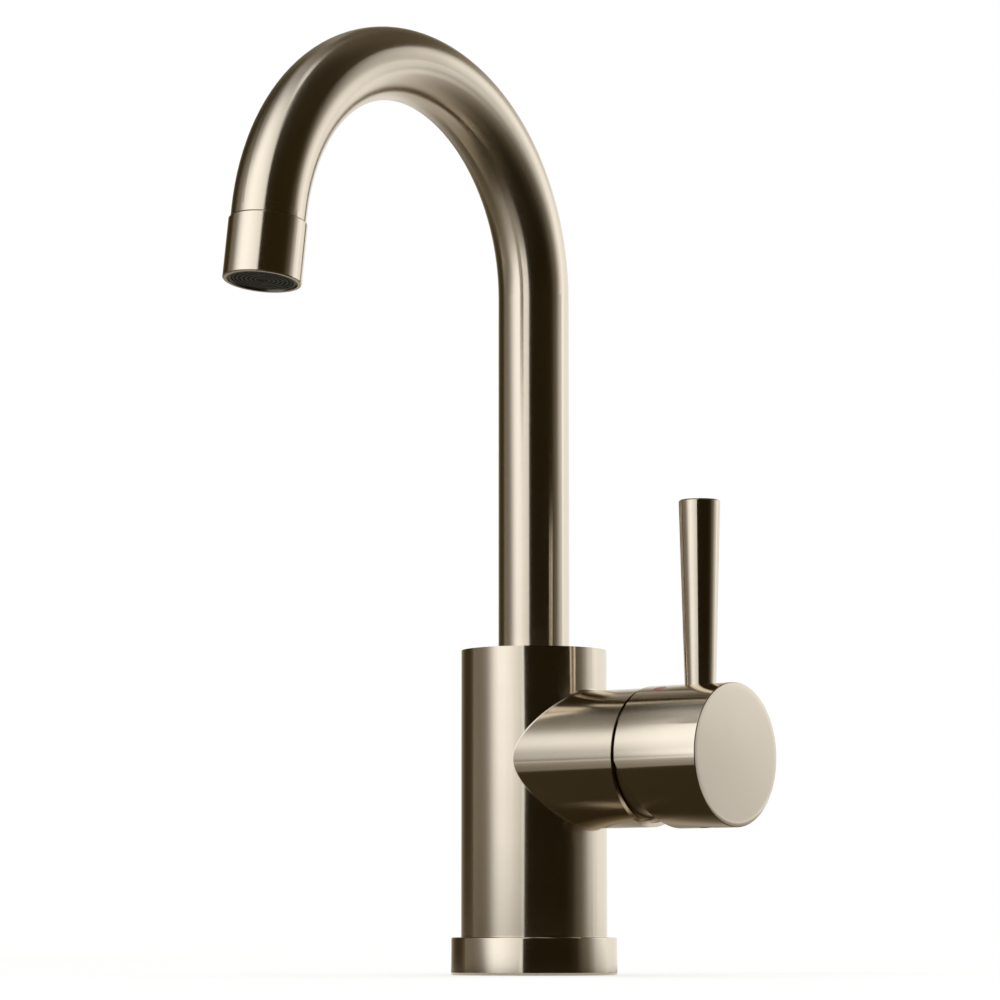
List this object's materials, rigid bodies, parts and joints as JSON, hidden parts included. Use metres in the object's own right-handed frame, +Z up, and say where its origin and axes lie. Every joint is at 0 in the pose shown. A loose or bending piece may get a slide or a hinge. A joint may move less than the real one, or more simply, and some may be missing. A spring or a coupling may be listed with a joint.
{
  "type": "basin mixer tap",
  "caption": "Single-lever basin mixer tap: upright column on a base ring, tall swivelling gooseneck spout with aerator, and a side hub with a tapered pin lever that tilts and turns.",
  "frame": {"origin": "middle of the tap's foot, on the face that sits on the deck", "axes": "+Z up along the column, -Y towards the spout's outlet, +X along the side boss towards the handle"},
  "size_m": [0.1016, 0.1648, 0.284],
  "materials": {
    "satin_finish": "gloss",
    "bare_brass": "satin",
    "steel": "satin",
    "black_plastic": "satin",
    "white_plastic": "satin",
    "grey_plastic": "satin",
    "black_rubber": "matte",
    "ceramic": "satin",
    "red_enamel": "gloss",
    "blue_enamel": "gloss"
  },
  "bodies": {
    "tap": {"tap_body": "satin_finish", "base_ring": "satin_finish", "base_gasket": "black_rubber", "ring_seal": "black_rubber", "spout_bush": "grey_plastic", "spout_stop_screw": "steel", "cartridge_housing": "white_plastic", "cartridge_base": "grey_plastic", "port_seals": "black_rubber", "disc_seals": "black_rubber", "fixed_disc": "ceramic", "cartridge_nut": "bare_brass", "cartridge_cover": "satin_finish"},
    "spout": {"spout_tube": "satin_finish", "spout_spigot": "bare_brass", "spout_seals": "black_rubber", "outlet_nipple": "bare_brass", "aerator_sleeve": "satin_finish", "aerator_washer": "black_rubber", "aerator_strainer": "steel", "aerator_body": "black_plastic", "aerator_grille": "black_plastic"},
    "carrier": {"stem_carrier": "white_plastic", "stem_pin": "steel"},
    "disc": {"moving_disc": "ceramic", "disc_driver": "grey_plastic"},
    "handle": {"stem": "steel", "handle_insert": "white_plastic", "handle_cap": "satin_finish", "handle_screw": "steel", "lever_pin": "satin_finish", "hot_mark": "red_enamel", "cold_mark": "blue_enamel"}
  },
  "joints": [
    {"name": "spout_swivel", "type": "hinge", "parent": "tap", "child": "spout", "pos_m": [0, 0, 0.0997], "axis": [0, 0, 1], "range_deg": [-60, 60]},
    {"name": "handle_turn", "type": "hinge", "parent": "tap", "child": "carrier", "pos_m": [0.038, 0, 0.0654], "axis": [1, 0, 0], "range_deg": [-50, 50]},
    {"name": "handle_lift", "type": "hinge", "parent": "carrier", "child": "handle", "pos_m": [0.038, 0, 0.0654], "axis": [0, 1, 0], "range_deg": [0, 20]},
    {"name": "disc_slide", "type": "slide", "parent": "carrier", "child": "disc", "axis": [0, 0, 1], "range_m": [0, 0.00362]}
  ],
  "couplings": [
    {"joint": "disc_slide", "follows": "handle_lift", "m_per_rad": 0.010347}
  ]
}
